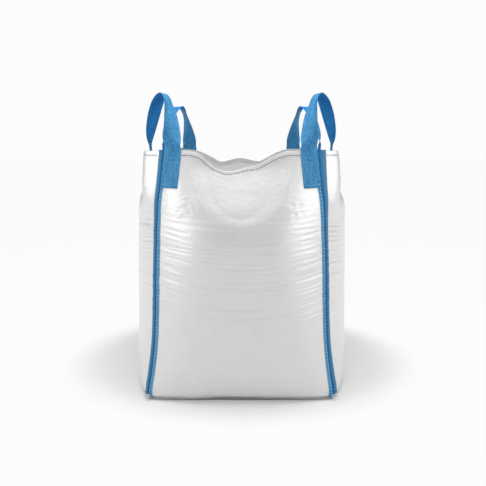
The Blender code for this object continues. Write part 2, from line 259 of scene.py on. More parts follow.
def wrinkles(side, s, t):
    """How far the cloth stands out of the filled shape, in metres."""
    s, t = np.broadcast_arrays(np.asarray(s, float), np.asarray(t, float))
    z = t * hem_height(side, s)
    half = smooth(CORNER_PROFILE, z)
    u = half * s
    seam = 1.15 * half * (1 - np.abs(s))
    own = side * 13 + np.where(s > 0, 5, 0)
    out = np.zeros_like(z)

    # Long tension lines sag across the whole panel, clearest near the seams.
    strength = ramp(0.22, 0.48, z) * (1 - ramp(0.80, 0.88, z)) * (0.58 + 0.42 * np.abs(s) ** 1.5)
    sag = z + LINE_SAG * (1 - s * s)
    patchy = 0.5 + 0.5 * noise(u / 0.16, z / 0.05, side + 2)
    waves = np.sin(sag * (2 * math.pi / LINE_SPACING) + 3.5 * noise(u / 0.35, z / 0.09, side + 4))
    lines = noise(u / 0.35, sag / 0.0095, side + 5)
    out += strength * (0.0008 * patchy * waves + 0.0012 * lines)

    # One of them stands out as a small ledge, right across the panel.
    crease = LEDGE_HEIGHT - LEDGE_SAG * (1 - s * s) + 0.005 * noise(u / 0.2, 0 * u, side + 9)
    ledge = ramp(-0.045, 0.0, z - crease) * ramp(0.0055, 0.0, z - crease)
    out += 0.0013 * ledge * (0.80 + 0.20 * np.abs(s))

    # Deeper folds run in from the seams, where the collar meets the filled part.
    calm = SIDE_CALM if side % 2 else 1.0
    near = ramp(0.030, 0.070, seam) * np.exp(-((seam / 0.25) ** 2))
    turns = (z + FOLD_DROOP * seam) * 2 * math.pi
    folds = np.sin(turns / FOLD_SPACING + 3.0 * noise(seam / 0.16, z / 0.08, own + 3))
    uneven = 0.6 + 0.4 * noise(seam / 0.12, z / 0.03, own + 2)
    out += 0.0019 * calm * hill(z, FOLD_HEIGHT, 0.052) * near * uneven * folds

    # Finer folds below them.
    folds = np.sin(turns / FINE_FOLD_SPACING + 3.5 * noise(seam / 0.14, z / 0.07, own + 8))
    out += 0.0007 * calm * hill(z, FINE_FOLD_HEIGHT, 0.065) * near * uneven * folds

    # Short puckers all along the tape.
    strength = ramp(0.10, 0.40, z) * ramp(0.030, 0.050, seam) * np.exp(-seam / 0.045)
    out += 0.0024 * strength * noise(seam / 0.07, z / 0.0105, own + 6)

    # Crumpled patches under the legs.
    strength = hill(seam, CRUMPLE_FROM_SEAM, 0.060) * hill(z, CRUMPLE_HEIGHT, 0.050) * calm
    crumple = noise(u / 0.016 + z / 0.05, z / 0.0075 - u / 0.09, own + 4)
    out += 0.0016 * strength * (crumple + 0.9 * noise(u / 0.0075, z / 0.007, own + 7))

    # The middle of the slack collar hangs back as one smooth hollow, rimmed by a soft crease.
    rim = ramp(0.0, 0.10, seam)
    edge = smooth(HOLLOW, z)
    tilt = (smooth(HOLLOW, z + 0.004) - smooth(HOLLOW, z - 0.004)) / 0.008
    beyond = (np.abs(u) - edge) / np.hypot(1.0, tilt)
    if side % 2 == 0:
        strength = ramp(0.80, 0.90, z) * ramp(1.17, 1.10, z)
    else:
        strength = 0.5 * ramp(0.87, 0.95, z)
    out -= 0.0060 * strength * (1 - ramp(-0.065, 0.016, beyond))
    out += 0.0016 * strength * ramp(0.90, 0.96, z) * hill(beyond, 0.012, 0.013)
    out += 0.0030 * ramp(0.835, 0.92, z) * rim * noise(u / 0.17 + 3, z / 0.16, side + 50)

    # Faint upright pleats low on the panel.
    strength = hill(z, 0.20, 0.16) * hill(s, 0.0, 0.45)
    out += 0.0006 * strength * noise(u / 0.012, z / 0.30, side + 20)

    # Puckers along the base seam, and a gather just above it.
    out += 0.0013 * np.exp(-z / 0.018) * np.sin(u / 0.0034 + 2.5 * noise(u / 0.03, z / 0.05, side))
    out -= 0.004 * hill(z, 0.0, 0.010)

    # Puckers along the hem's stitching.
    below = hem_height(side, s) - z - stitch_depth(side, s)
    out += 0.0008 * hill(below, 0.0, 0.010) * noise(u / 0.008, 0 * u, side + 60)
    out -= 0.0016 * hill(below, 0.0, 0.0035)

    # Slight unevenness everywhere.
    out += 0.0016 * rim * noise(u / 0.11, z / 0.10, side + 70)
    out += 0.00035 * noise(u / 0.011, z / 0.009, side + 80)
    return out


def on_panel(side, s, t, above=0.0, normals=False):
    """Points on the wrinkled cloth, lifted above it by a distance."""
    step = 1e-4
    s, t = np.broadcast_arrays(np.asarray(s, float), np.asarray(t, float))
    across = bag_surface(side, s + step, t) - bag_surface(side, s - step, t)
    up = bag_surface(side, s, t + step) - bag_surface(side, s, t - step)
    normal = np.cross(across, up)
    normal /= np.linalg.norm(normal, axis=-1, keepdims=True)
    lift = (wrinkles(side, s, t) + above)[..., None]
    points = bag_surface(side, s, t) + normal * lift
    points[..., 2] = np.maximum(points[..., 2], FLOOR_GAP)
    return (points, normal) if normals else points


# Meshes

def grid_mesh(name, points, uvs, closed=False):
    """A mesh from rows and columns of points, with its weave's directions as UVs in metres."""
    rows, columns = points.shape[:2]
    index = np.arange(rows * columns).reshape(rows, columns)
    if closed:
        index = np.concatenate([index, index[:, :1]], axis=1)
    quads = np.stack(
        [index[:-1, :-1], index[:-1, 1:], index[1:, 1:], index[1:, :-1]], axis=-1
    ).reshape(-1, 4)
    faces = quads.tolist()
    if closed:
        faces += [index[0, :-1][::-1].tolist(), index[-1, :-1].tolist()]
    return finish_mesh(name, points.reshape(-1, 3), faces, uvs.reshape(-1, 2))


def finish_mesh(name, vertices, faces, uvs):
    mesh = bpy.data.meshes.new(name)
    mesh.from_pydata(np.asarray(vertices).tolist(), [], faces)
    layer = mesh.uv_layers.new(name="weave")
    loops = np.zeros(len(mesh.loops), np.int32)
    mesh.loops.foreach_get("vertex_index", loops)
    layer.data.foreach_set("uv", np.asarray(uvs, np.float32)[loops].reshape(-1))
    mesh.shade_smooth()
    thing = bpy.data.objects.new(name, mesh)
    bpy.context.collection.objects.link(thing)
    return thing


def dress(thing, material, body="bag"):
    """Gives a piece its material and the body it moves with."""
    thing.data.materials.append(material)
    if body:
        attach(thing, body)
    return thing


def solidify(thing, thickness, inner_material=0):
    modifier = thing.modifiers.new("cloth", "SOLIDIFY")
    modifier.thickness = thickness
    modifier.offset = -1
    modifier.use_even_offset = False
    modifier.material_offset = inner_material


def make_panel(side, material, inside):
    """One wall of the bag with its hem folded over and down the inside."""
    s = np.linspace(-1.0, 1.0, PANEL_COLUMNS + 1)
    t = np.linspace(FOOT / HEM_HEIGHT, 1.0, PANEL_ROWS + 1)
    outer = on_panel(side, s[None, :], t[:, None])
    top, normal = on_panel(side, s, np.ones_like(s), normals=True)
    turns = np.linspace(0, math.pi, 6)[1:]
    fold = [
        top - normal * FOLD_RADIUS * (1 - math.cos(a)) + np.array([0, 0, FOLD_RADIUS * math.sin(a)])
        for a in turns
    ]
    depths = np.linspace(0, HEM_FOLD, 8)[1:]
    inner = [on_panel(side, s, 1 - d / hem_height(side, s), -2 * FOLD_RADIUS) for d in depths]
    points = np.concatenate([outer, np.array(fold), np.array(inner)])
    length = np.concatenate([
        t * HEM_HEIGHT, HEM_HEIGHT + turns * FOLD_RADIUS, HEM_HEIGHT + 0.004 + depths
    ])
    across = s[None, :] * (PANEL_WIDTH / 2)
    uvs = np.stack(np.broadcast_arrays(across, length[:, None]), axis=-1)
    name = SIDES[side]
    panel = grid_mesh(name + "_panel_cloth", points, uvs)
    solidify(panel, CLOTH, 1)
    dress(panel, material)
    # The inside faces take the glowing copy of the cloth: a painted glow.
    panel.data.materials.append(inside)
    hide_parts(name + "_panel")
    return panel


def front_lift(x, y):
    """The front edge of the base stands a little off the floor between its corners."""
    return FRONT_LIFT * ramp(0.30, 0.46, -y) * np.clip(1 - (np.abs(x) / 0.42) ** 2, 0, 1)


def make_base(material):
    """The square base, lying on the floor."""
    a = np.linspace(-1, 1, BASE_CELLS + 1)
    x, y = np.meshgrid(a, a)
    px = x * (0.436 + 0.032 * (1 - y ** 6))
    py = y * (0.474 + 0.005 * (1 - x ** 6))
    uneven = 0.0006 * np.abs(noise(px / 0.06, py / 0.05, 90))
    pz = CLOTH + FLOOR_GAP + uneven + front_lift(px, py)
    points = np.stack([px, py, pz], axis=-1)
    uvs = np.stack([px, py], axis=-1)
    base = grid_mesh("base_cloth", points, uvs)
    solidify(base, CLOTH)
    dress(base, material)
    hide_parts("base_panel")


def make_base_seam(side, material):
    """The folded and sewn lip where a wall meets the base."""
    s = np.linspace(-0.995, 0.995, 170)
    ripple = 0.0005 * noise(s * 30, 0 * s, side + 95)
    lines = [
        on_panel(side, s, z / HEM_HEIGHT + 0 * s, above + LIP_OUT + ripple)
        for z, above in LIP_PROFILE
    ]
    # The two lowest lines are drawn down to the floor, so the lip's near-black painted shadow hangs
    # as a dark skirt over the gap under the edge.
    for low in lines[:2]:
        low[:, 2] = PAINTED_SHADOW_SKIRT_FOOT
    points = np.stack(lines, axis=1)[::-1]
    around = np.arange(len(LIP_PROFILE))[None, :] * 0.004
    uvs = np.stack(np.broadcast_arrays(around, s[:, None] * (PANEL_WIDTH / 2)), axis=-1)
    lip = grid_mesh(SIDES[side] + "_base_seam_lip", points, uvs, closed=True)
    dress(lip, material)
    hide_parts(SIDES[side] + "_base_seam")


def tape_width(side, t):
    """The share of a panel, at each height, that half the tape covers."""
    edge, inner = bag_surface(side, 1.0, t), bag_surface(side, 0.94, t)
    return 0.06 * TAPE_HALF / np.linalg.norm(edge - inner, axis=-1)


def make_seam_tape(side, material):
    """The tape over one corner seam: two flat halves and a stitched ridge between them."""
    following = (side + 1) % 4
    t = np.linspace(FOOT / HEM_HEIGHT, 1.0, 190)
    share = np.concatenate([[0.0], np.linspace(0.0, 1.0, 13)])
    width = tape_width(side, t)
    flare = 0.006 * np.exp(-(t * HEM_HEIGHT) / 0.018)
    rough = 0.00035 * noise(t * 260, 0 * t, side + 30)

    def height(q):
        """The tape's height over the cloth; q is 0 at its edge and 1 at the seam."""
        rise = 0.0016 + 0.0022 * ramp(0.80, 0.93, q) - 0.0009 * hill(q, 0.74, 0.07)
        return rise * ramp(-0.06, 0.05, q)

    def over_cloth(q, lift):
        return lift * (height(q) + flare + rough) + TAPE_GAP

    sheets = []
    for lift in (1.0, 0.0):
        near = [
            on_panel(side, 1 - width * (1 - q), t, over_cloth(q, lift)) for q in share[1:-1]
        ]
        far = [
            on_panel(following, -1 + width * (1 - q), t, over_cloth(q, lift))
            for q in share[-2:0:-1]
        ]
        top = over_cloth(1.0, lift)
        crest = (on_panel(side, 1.0, t, top) + on_panel(following, -1.0, t, top)) / 2
        sheets.append(near + [crest] + far)
    ring = sheets[0] + sheets[1][::-1]
    points = np.stack(ring, axis=1)
    ear = 0.006 * ramp(0.985, 1.0, t)[:, None]
    points[:, :, 2] += ear
    over = np.linspace(0, 2 * TAPE_HALF, len(sheets[0]))
    over = over if side % 2 else over[::-1]
    around = np.concatenate([over, over[::-1]])
    uvs = np.stack(np.broadcast_arrays(around[None, :], t[:, None] * HEM_HEIGHT), axis=-1)
    tape = grid_mesh(CORNERS[side] + "_tape", points, uvs, closed=True)
    dress(tape, material)
    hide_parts(CORNERS[side] + "_seam_tape")


class Loop:
    """One lifting strap: sewn leg, free arch and sewn leg in one length of webbing."""

    def __init__(self, name):
        self.name = name
        self.front = name.startswith("front")
        self.right = name.endswith("right")
        self.facing = 0 if self.front else 2
        self.flank = 1 if self.right else 3
        facing_sign = 1 if self.front == self.right else -1
        flank_sign = -facing_sign
        self.facing_span = tuple(facing_sign * s for s in FACING_LEG)
        self.flank_span = tuple(flank_sign * s for s in SIDE_LEG)
        self.first, self.first_across = self.foot(self.facing, self.facing_span)
        self.second, self.second_across = self.foot(self.flank, self.flank_span)

    @staticmethod
    def foot(side, span):
        """Where the strap's middle leaves the hem, and its direction towards the corner."""
        low, high = (on_panel(side, s, 1.0, 0.004) for s in span)
        low[2] = high[2] = HEM_HEIGHT
        across = (high - low) / np.linalg.norm(high - low)
        return (low + high) / 2, across

    def sewn(self, side, span, share, t, above):
        """A point on the cloth under a leg; share runs over the strap's width."""
        s = span[0] + (span[1] - span[0]) * share
        over_tape = 0.0022 * ramp(0.90, 0.945, np.abs(s))
        return on_panel(side, s, t, above + over_tape + 0.0006)


def loop_frames(loop, count):
    """Centres and widthways directions along the free arch."""
    turn = np.linspace(0, math.pi, count)
    power = 2 / LOOP_FULLNESS
    height, swing, turns = FRONT_HANG if loop.front else BACK_HANG
    cosine = np.cos(turn)
    reach = np.stack([np.sign(cosine) * np.abs(cosine) ** p for p in (power, swing, 1.0)], axis=-1)
    share = (1 - reach) / 2
    centre = loop.first * (1 - share) + loop.second * share
    rise = np.abs(np.sin(turn)) ** power
    outward = np.sign(loop.first[:2])
    centre[:, 0] -= outward[0] * LOOP_LEAN * rise**2 * (LEAN_FADE - rise)
    centre[:, 2] = HEM_HEIGHT + FOOT_RISE + height * rise
    first_end, second_end = (
        math.degrees(math.atan2(*(a[:2] * outward)[::-1]))
        for a in (loop.first_across, loop.second_across)
    )
    stations = ((0.0, first_end), *turns, (1.0, second_end))
    angle = np.radians(smooth(stations, turn / math.pi))
    across = np.stack([outward[0] * np.cos(angle), outward[1] * np.sin(angle), 0 * angle], axis=-1)
    ahead = np.gradient(centre, axis=0)
    ahead /= np.linalg.norm(ahead, axis=-1, keepdims=True)
    across -= ahead * np.sum(across * ahead, axis=-1, keepdims=True)
    across /= np.linalg.norm(across, axis=-1, keepdims=True)
    return centre, across


def make_strap(name, material, painted_shade_material):
    """The whole strap as one closed ribbon with ribs woven along it."""
    loop = Loop(name)
    columns = STRAP_RIBS * 3
    share = np.linspace(0, 1, columns + 1)
    rise = np.linspace(LEG_BOTTOM, 1.0, 34)
    centre, across = loop_frames(loop, 90)
    straight = np.linspace(0, FOOT_RISE, 7)[1:-1]
    heights = [z * HEM_HEIGHT for z in rise] + [HEM_HEIGHT + r for r in straight]
    facing_leg = [
        strap_row(loop, loop.facing, loop.facing_span, loop.first, loop.first_across, z, share)
        for z in heights
    ]
    arch = [c + (share - 0.5)[:, None] * STRAP_WIDTH * a for c, a in zip(centre, across)]
    side_leg = [
        strap_row(loop, loop.flank, loop.flank_span, loop.second, loop.second_across, z, share)
        for z in reversed(heights)
    ]
    face = relax(np.array(facing_leg + arch + side_leg))
    along = np.gradient(face, axis=0)
    sideways = np.gradient(face, axis=1)
    normal = np.cross(sideways, along)
    normal /= np.linalg.norm(normal, axis=-1, keepdims=True)
    if normal[len(face) // 2, columns // 2][2] < 0:
        normal = -normal
    edge = 1 - np.abs(2 * share - 1) ** 14
    rib = RIB_HEIGHT * np.abs(np.sin(math.pi * share * STRAP_RIBS))
    half = (STRAP_THICKNESS / 2 - RIB_HEIGHT + rib) * (0.35 + 0.65 * edge)
    outer = face + normal * half[None, :, None]
    inner = face - normal * half[None, :, None]
    ring = np.concatenate([outer, inner[:, ::-1]], axis=1)
    step = np.linalg.norm(np.diff(face[:, columns // 2], axis=0), axis=-1)
    length = np.concatenate([[0.0], np.cumsum(step)])
    widths = np.concatenate([share, share[::-1] + 1.2]) * STRAP_WIDTH
    uvs = np.stack(np.broadcast_arrays(widths[None, :], length[:, None]), axis=-1)
    strap = grid_mesh(name + "_strap", ring, uvs, closed=True)
    face_outward(strap)
    dress(strap, material, body=None)
    strap.data.materials.append(painted_shade_material)
    # Painted shade: the underside past PAINTED_SHADE_FROM, and both faces of the rear loops over
    # REAR_SHADE, take the darker copy of the webbing.
    shade = np.zeros(len(strap.data.polygons), np.int32)
    under = np.arange(ring.shape[1]) >= face.shape[1]
    place = np.arange(len(ring) - 1) / len(ring)
    shadowed = (place > PAINTED_SHADE_FROM)[:, None] & under
    if not loop.front:
        shadowed |= ((place > REAR_SHADE[0]) & (place < REAR_SHADE[1]))[:, None]
    shade[:(len(ring) - 1) * ring.shape[1]] = shadowed.ravel()
    strap.data.polygons.foreach_set("material_index", shade)
    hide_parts(name + "_loop", name + "_loop_facing_leg", name + "_loop_side_leg")
    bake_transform(strap)
    return loop


def strap_row(loop, side, span, foot, foot_across, z, share):
    """One row of a leg: on the cloth below the hem, easing to a flat strap above it."""
    t = min(z / HEM_HEIGHT, 1.0)
    sewn = loop.sewn(side, span, share, t, STRAP_THICKNESS / 2)
    sewn[:, 2] = z
    free = foot + (share - 0.5)[:, None] * STRAP_WIDTH * foot_across
    free[:, 2] = z
    ease = ramp(HEM_HEIGHT - 0.004, HEM_HEIGHT + FOOT_RISE * 0.9, z)
    return sewn * (1 - ease) + free * ease


def relax(rows):
    """Takes the small kinks out of a strap's rows, leaving its ends."""
    for _ in range(3):
        rows[1:-1] = (rows[:-2] + 2 * rows[1:-1] + rows[2:]) / 4
    return rows


def face_outward(thing):
    """Turns every face of a closed mesh outward."""
    work = bmesh.new()
    work.from_mesh(thing.data)
    bmesh.ops.recalc_face_normals(work, faces=work.faces)
    work.to_mesh(thing.data)
    work.free()


# Thread

def stitch_line(points, normals, length, gap, radius, sink=0.4):
    """Vertices and faces of one row of stitches along a line on a surface."""
    sides, rings = 6, 5
    step = np.linalg.norm(np.diff(points, axis=0), axis=-1)
    run = np.concatenate([[0.0], np.cumsum(step)])
    count = max(1, int((run[-1] + gap) / (length + gap)))
    start = np.arange(count) * (run[-1] + gap) / count
    end = start + (run[-1] + gap) / count - gap
    f = np.linspace(0, 1, rings)
    at = start[:, None] * (1 - f) + end[:, None] * f
    centre = np.stack([np.interp(at, run, points[:, k]) for k in range(3)], axis=-1)
    up = np.stack([np.interp(at, run, normals[:, k]) for k in range(3)], axis=-1)
    up /= np.linalg.norm(up, axis=-1, keepdims=True)
    bow = np.sin(math.pi * f)
    centre += up * (radius * (bow * (1 - sink) - sink * (1 - bow)))[None, :, None]
    ahead = np.gradient(centre, axis=1)
    ahead /= np.linalg.norm(ahead, axis=-1, keepdims=True)
    wide = np.cross(ahead, up)
    wide /= np.linalg.norm(wide, axis=-1, keepdims=True)
    tall = np.cross(wide, ahead)
    size = radius * (0.45 + 0.55 * np.sqrt(bow))
    centre[..., 2] = np.maximum(centre[..., 2], radius + 0.0002)
    angle = np.arange(sides) * 2 * math.pi / sides
    ring = (
        centre[:, :, None]
        + wide[:, :, None] * (np.cos(angle)[:, None] * size[:, None, None])
        + tall[:, :, None] * (np.sin(angle)[:, None] * size[:, None, None])
    )
    vertices = ring.reshape(-1, 3)
    faces = []
    for k in range(count):
        base = k * rings * sides
        for r in range(rings - 1):
            for a in range(sides):
                b = (a + 1) % sides
                lo, hi = base + r * sides, base + (r + 1) * sides
                faces.append([lo + a, lo + b, hi + b, hi + a])
        faces.append([base + a for a in range(sides)][::-1])
        faces.append([base + (rings - 1) * sides + a for a in range(sides)])
    return vertices, faces


def thread_piece(name, lines, material):
    """Rows of stitches joined into one piece."""
    vertices, faces, count = [], [], 0
    for points, faces_here in lines:
        vertices.append(points)
        faces += [[count + i for i in face] for face in faces_here]
        count += len(points)
    vertices = np.concatenate(vertices)
    thread = finish_mesh(name, vertices, faces, vertices[:, [0, 2]])
    face_outward(thread)
    return dress(thread, material)


def make_hem_stitches(side, dark, pale):
    """Dark chain stitch with a pale looper thread just under it, between the legs and tapes."""
    facing = ((-0.762, 0.762),)
    flank = ((-0.95, -0.672), (-0.428, 0.428), (0.672, 0.95))
    spans = flank if side % 2 else facing
    for label, drop, material, length, gap, radius in (
        ("dark", 0.0, dark, 0.0095, 0.0035, 0.0016),
        ("pale", 0.0046, pale, 0.0085, 0.0008, 0.0012),
    ):
        lines = []
        for low, high in spans:
            s = np.linspace(low, high, 160)
            t = 1 - (stitch_depth(side, s) + drop) / hem_height(side, s)
            points, normals = on_panel(side, s, t, normals=True)
            lines.append(stitch_line(points, normals, length, gap, radius, sink=0.2))
        thread = thread_piece(SIDES[side] + "_hem_thread_" + label, lines, material)
        if label == "dark":
            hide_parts(SIDES[side] + "_hem_stitch")


def make_leg_stitches(loop, pale, tonal):
    """The sewn box on each leg: pale rows across its ends, tonal rows down it and across."""
    low, high = BOX_STITCH
    for side, span, kind in (
        (loop.facing, loop.facing_span, "facing"), (loop.flank, loop.flank_span, "side"),
    ):
        ends = [((0.06, low), (0.94, low)), ((0.06, high), (0.94, high))]
        rows = [((0.06, low), (0.06, high)), ((0.94, low), (0.94, high))]
        zigs = np.linspace(0.10, 0.90, BOX_ZIGZAGS + 1)
        for i, (a, b) in enumerate(zip(zigs, zigs[1:])):
            ups = (low + 0.004, high - 0.004) if i % 2 == 0 else (high - 0.004, low + 0.004)
            rows.append(((a, ups[0]), (b, ups[1])))
        name = loop.name + "_loop_" + kind + "_leg_"
        for label, segments, material in (("box_ends", ends, pale), ("box_rows", rows, tonal)):
            lines = []
            for (v0, t0), (v1, t1) in segments:
                v, t = np.linspace(v0, v1, 60), np.linspace(t0, t1, 60)
                points = loop.sewn(side, span, v, t, STRAP_THICKNESS)
                s = span[0] + (span[1] - span[0]) * v
                normals = on_panel(side, s, t, normals=True)[1]
                lines.append(stitch_line(points, normals, 0.0052, 0.0014, 0.0008, sink=0.3))
            thread = thread_piece(name + label, lines, material)
            if label == "box_ends":
                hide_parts(name + "stitch")


def make_tape_stitches(side, pale, dark):
    """Rows of stitches along a tape's half on the front or back, q of the way to the seam."""
    panel, sign = (side, 1.0) if side % 2 == 0 else ((side + 1) % 4, -1.0)
    t = np.linspace(0.012, 0.995, 300)
    width = tape_width(panel, t)
    for label, material, q, length, gap in (
        ("pale", pale, 0.40, 0.0095, 0.0080), ("dark", dark, 0.80, 0.0100, 0.0050),
        ("edge", pale, 0.14, 0.0080, 0.0110), ("ridge", pale, 0.72, 0.0090, 0.0070),
    ):
        s = sign * (1 - width * (1 - q))
        points, normals = on_panel(panel, s, t, 0.0016, normals=True)
        line = stitch_line(points, normals, length, gap, 0.0012)
        thread_piece(CORNERS[side] + "_tape_thread_" + label, [line], material)


def make_base_stitches(side, dark, pale):
    """A dark row of stitches along the base seam's lip, and a pale row above it."""
    s = np.linspace(-0.975, 0.975, 400)
    for label, material, height, above in (
        ("dark", dark, 0.0075, 0.0082), ("pale", pale, 0.0120, 0.0078),
    ):
        points, normals = on_panel(side, s, height / HEM_HEIGHT + 0 * s, above, normals=True)
        line = stitch_line(points, normals, 0.0080, 0.0030, 0.0009)
        thread_piece(SIDES[side] + "_base_thread_" + label, [line], material)


def make_corner_frays(side, material):
    """Loose thread ends where a corner seam meets the base seam."""
    rng = np.random.default_rng(40 + side)
    foot = on_panel(side, 1.0, 0.008)
    away = foot * np.array([1.0, 1.0, 0.0]) / math.hypot(foot[0], foot[1])
    along = np.array([-away[1], away[0], 0.0])
    lines = []
    up = np.array([0.0, 0.0, 1.0])
    for _ in range(FRAYS):
        start = foot + along * rng.uniform(-0.016, 0.016) + away * 0.003
        start = start + up * rng.uniform(0.002, 0.016)
        turn = rng.uniform(-1.1, 1.1)
        heading = away * math.cos(turn) + along * math.sin(turn)
        reach = np.linspace(0, 1, FRAY_POINTS)[:, None] * rng.uniform(0.012, 0.026)
        path = start + heading * reach + up * (0.004 * np.sin(reach / 0.006))
        path[:, 2] = np.maximum(path[:, 2], FRAY_LOWEST)
        normals = np.tile(up, (FRAY_POINTS, 1))
        lines.append(stitch_line(path, normals, 0.0040, 0.0003, 0.0011))
    thread_piece(CORNERS[side] + "_corner_frays", lines, material)


# Materials

WAVE_PERIOD_AT_ONE = 0.314  # the wave texture's period at scale 1
WEAVE_PERIOD = 0.0050  # two of the cloth's flat tapes
PICK_PERIOD = 0.0021  # the webbing's cross weave

# The seam tape's colours from its edge on the flank (0) to its edge on the front or back (1), with
# painted shade over the flank half and on both sides of a pale ridge that is partly lighter
# stitching and partly a painted highlight.
TAPE_COLOUR_AND_PAINTED_LIGHT = (
    (0.0, (0.10, 0.26, 0.42)), (0.30, (0.055, 0.21, 0.40)), (0.46, (0.024, 0.14, 0.33)),
    (0.63, (0.018, 0.13, 0.32)), (0.69, (0.13, 0.40, 0.68)), (0.75, (0.13, 0.40, 0.68)),
    (0.80, (0.018, 0.13, 0.32)), (0.86, (0.04, 0.22, 0.45)), (0.92, (0.14, 0.38, 0.64)),
    (1.0, (0.13, 0.34, 0.56)),
)


def new_material(name, colour, roughness):
    material = bpy.data.materials.new(name)
    material.use_nodes = True
    shader = material.node_tree.nodes["Principled BSDF"]
    shader.inputs["Base Color"].default_value = (*colour, 1.0)
    shader.inputs["Roughness"].default_value = roughness
    return material, material.node_tree, shader


def add(tree, kind, **values):
    """A node with some of its inputs or attributes set."""
    node = tree.nodes.new(kind)
    for key, value in values.items():
        if key in node.inputs:
            node.inputs[key].default_value = value
        else:
            setattr(node, key, value)
    return node


def scaled_uv(tree, scale):
    """The weave's coordinates, multiplied per direction."""
    uv = add(tree, "ShaderNodeUVMap", uv_map="weave")
    mapping = add(tree, "ShaderNodeMapping")
    mapping.inputs["Scale"].default_value = (*scale, 1.0)
    tree.links.new(uv.outputs["UV"], mapping.inputs["Vector"])
    return mapping.outputs["Vector"]


def bands(tree, period, direction):
    """Even stripes across the weave, from 0 to 1."""
    wave = add(
        tree, "ShaderNodeTexWave", wave_type="BANDS", bands_direction=direction, wave_profile="SIN"
    )
    wave.inputs["Scale"].default_value = WAVE_PERIOD_AT_ONE / period
    tree.links.new(scaled_uv(tree, (1.0, 1.0)), wave.inputs["Vector"])
    return wave.outputs["Fac"]


def cloudy(tree, scale, detail, stretch=(1.0, 1.0)):
    """Soft random variation over the weave, from 0 to 1."""
    texture = add(tree, "ShaderNodeTexNoise")
    texture.inputs["Scale"].default_value = scale
    texture.inputs["Detail"].default_value = detail
    tree.links.new(scaled_uv(tree, stretch), texture.inputs["Vector"])
    return texture.outputs["Fac"]


def mathematics(tree, operation, a, b):
    node = add(tree, "ShaderNodeMath", operation=operation)
    for socket, value in zip(node.inputs, (a, b)):
        if isinstance(value, (int, float)):
            socket.default_value = value
        else:
            tree.links.new(value, socket)
    return node.outputs["Value"]


def weighed(tree, a, b, share):
    """A share of one value and the rest of another."""
    return mathematics(
        tree, "ADD",
        mathematics(tree, "MULTIPLY", a, share), mathematics(tree, "MULTIPLY", b, 1 - share),
    )


def scaled(tree, value, factor, offset):
    return mathematics(tree, "ADD", mathematics(tree, "MULTIPLY", value, factor), offset)


def mixed(tree, factor, low, high):
    """A colour between two, chosen by a 0 to 1 value."""
    node = add(tree, "ShaderNodeMix", data_type="RGBA")
    tree.links.new(factor, node.inputs["Factor"])
    for socket, value in ((node.inputs[6], low), (node.inputs[7], high)):
        if isinstance(value, tuple):
            socket.default_value = (*value, 1.0)
        else:
            tree.links.new(value, socket)
    return node.outputs[2]


def bump(tree, shader, height, strength, distance):
    node = add(tree, "ShaderNodeBump")
    node.inputs["Strength"].default_value = strength
    node.inputs["Distance"].default_value = distance
    tree.links.new(height, node.inputs["Height"])
    tree.links.new(node.outputs["Normal"], shader.inputs["Normal"])


def woven_material(name, glow):
    """White woven polypropylene: flat tapes about 2.5 mm wide over and under each other."""
    material, tree, shader = new_material(name, (0.78, 0.78, 0.775), 0.45)
    shader.inputs["Emission Color"].default_value = (1.0, 1.0, 1.0, 1.0)
    shader.inputs["Emission Strength"].default_value = glow
    warp = bands(tree, WEAVE_PERIOD, "X")
    weft = bands(tree, WEAVE_PERIOD, "Y")
    weave = mathematics(tree, "ABSOLUTE", mathematics(tree, "SUBTRACT", warp, weft), 0.0)
    tapes = cloudy(tree, 150.0, 1.0, (1.0, 0.04))
    clouds = cloudy(tree, 9.0, 4.0)
    slubs = cloudy(tree, 150.0, 1.0, (0.04, 1.0))
    streaks = mathematics(tree, "MULTIPLY", mathematics(tree, "ADD", tapes, slubs), 0.35)
    blend = mathematics(tree, "ADD", streaks, mathematics(tree, "MULTIPLY", clouds, 0.3))
    colour = mixed(tree, blend, (0.68, 0.68, 0.675), (0.84, 0.84, 0.84))
    tree.links.new(colour, shader.inputs["Base Color"])
    tree.links.new(scaled(tree, weave, 0.14, 0.30), shader.inputs["Roughness"])
    shader.inputs["Metallic"].default_value = 0.19
    shader.inputs["Coat Weight"].default_value = 0.8
    shader.inputs["Coat IOR"].default_value = 1.8
    shader.inputs["Coat Roughness"].default_value = 0.36
    bump(tree, shader, weave, 0.25, 0.0004)
    return material


def webbing_material(name, low, high):
    """Blue polypropylene webbing with ribs along it and a fine cross weave."""
    material, tree, shader = new_material(name, high, 0.7)
    ribs = bands(tree, STRAP_WIDTH / STRAP_RIBS, "X")
    picks = bands(tree, PICK_PERIOD, "Y")
    fibre = cloudy(tree, 150.0, 2.0, (1.0, 0.6))
    clouds = cloudy(tree, 30.0, 3.0, (1.0, 0.3))
    fine = weighed(tree, picks, fibre, 0.25)
    shade = weighed(tree, fine, clouds, 0.7)
    colour = mixed(tree, scaled(tree, shade, 2.9, -1.0), low, high)
    tree.links.new(colour, shader.inputs["Base Color"])
    shader.inputs["Specular IOR Level"].default_value = 0.2
    height = mathematics(tree, "ADD", mathematics(tree, "MULTIPLY", ribs, 0.5), fine)
    bump(tree, shader, height, 0.35, 0.0005)
    return material


